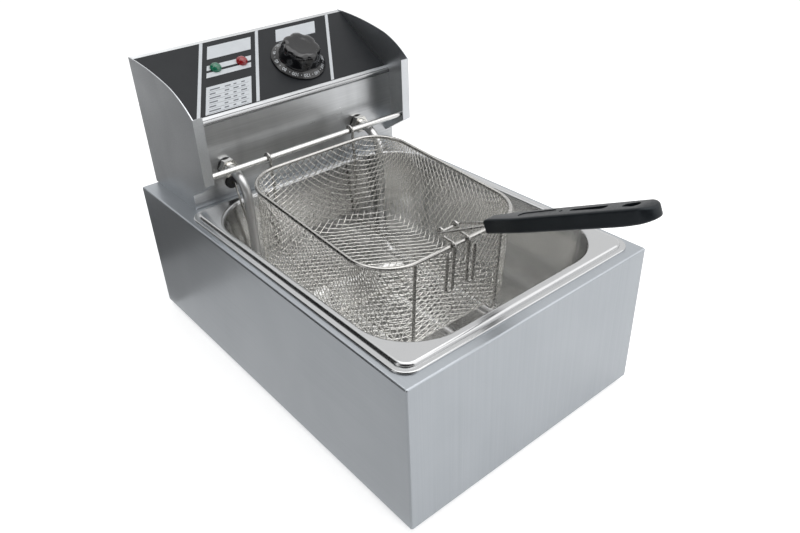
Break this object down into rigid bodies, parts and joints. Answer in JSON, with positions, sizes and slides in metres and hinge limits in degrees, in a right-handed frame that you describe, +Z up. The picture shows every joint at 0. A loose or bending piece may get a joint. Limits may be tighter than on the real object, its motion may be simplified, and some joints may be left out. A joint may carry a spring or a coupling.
{
  "type": "deep fryer",
  "caption": "Countertop deep fryer: steel casing with lift-out oil pan, lift-off control head with knob, lamps and heating element, and a hooked wire basket with a tilting handle.",
  "frame": {"origin": "centre of the bounding box, at the underside of the feet", "axes": "+X to the right seen from the front, +Y to the back, +Z up; the handle points to -Y"},
  "size_m": [0.28, 0.5414, 0.29],
  "materials": {
    "casing_steel": "brushed, grain along the sheet",
    "base_steel": "plain rolled sheet",
    "foot_rubber": "matt",
    "fastener_steel": "nickel plated",
    "pan_steel": "satin, polished on the rim",
    "head_steel": "brushed",
    "panel_black": "printed film, semi-gloss",
    "rod_steel": "polished",
    "lamp_green": "clear moulded lens",
    "lamp_red": "clear moulded lens",
    "housing_plastic": "moulded",
    "knob_black": "moulded, glossy",
    "element_steel": "drawn tube",
    "seal_rubber": "matt",
    "capillary_metal": "drawn",
    "basket_wire": "nickel plated wire",
    "handle_black": "moulded, satin"
  },
  "bodies": {
    "base": {"casing_shell": "casing_steel", "base_plate": "base_steel", "feet": "foot_rubber", "foot_screws": "fastener_steel", "foot_nuts": "fastener_steel", "base_screws": "fastener_steel"},
    "pan": {"oil_pan": "pan_steel"},
    "knob": {"thermostat_knob": "knob_black", "knob_shaft": "fastener_steel"},
    "basket": {"basket_mesh": "basket_wire", "basket_rim": "basket_wire", "basket_frame_wires": "basket_wire", "basket_brackets": "basket_wire"},
    "handle": {"handle_fork": "basket_wire", "handle_grip": "handle_black"},
    "head": {"rear_cover_screws": "fastener_steel", "thermostat_screws": "fastener_steel", "element_nuts": "fastener_steel", "element_bushes": "fastener_steel", "element_terminals": "fastener_steel", "bulb_clips": "fastener_steel", "head_left_cheek": "head_steel", "head_right_cheek": "head_steel", "head_front_plate": "head_steel", "head_floor": "head_steel", "rear_cover": "head_steel", "control_deck": "head_steel", "drip_lip": "head_steel", "panel_overlay": "panel_black", "basket_rod": "rod_steel", "green_lamp_lens": "lamp_green", "red_lamp_lens": "lamp_red", "lamp_bodies": "housing_plastic", "thermostat_body": "housing_plastic", "limiter_body": "housing_plastic", "terminal_block": "housing_plastic", "cable_gland": "housing_plastic", "gland_locknut": "housing_plastic", "heating_element": "element_steel", "element_gaskets": "seal_rubber", "capillary_grommet": "seal_rubber", "lead_wires": "seal_rubber", "capillary_tube": "capillary_metal", "thermostat_bulb": "capillary_metal"}
  },
  "joints": [
    {"name": "pan_lift", "type": "slide", "parent": "base", "child": "pan", "axis": [0, 0, 1], "range_m": [0, 0.17]},
    {"name": "head_lift", "type": "slide", "parent": "pan", "child": "head", "axis": [0, 0, 1], "range_m": [0, 0.16]},
    {"name": "knob_turn", "type": "hinge", "parent": "head", "child": "knob", "pos_m": [0.0428, 0.20585, 0.2608], "axis": [0, 0.5, -0.866], "range_deg": [0, 280]},
    {"name": "basket_lift", "type": "slide", "parent": "head", "child": "basket", "axis": [0, -0.0698, 0.9976], "range_m": [0, 0.15]},
    {"name": "handle_tilt", "type": "hinge", "parent": "basket", "child": "handle", "pos_m": [0.0044, -0.0731, 0.18075], "axis": [-1, 0, 0], "range_deg": [0, 95]}
  ]
}
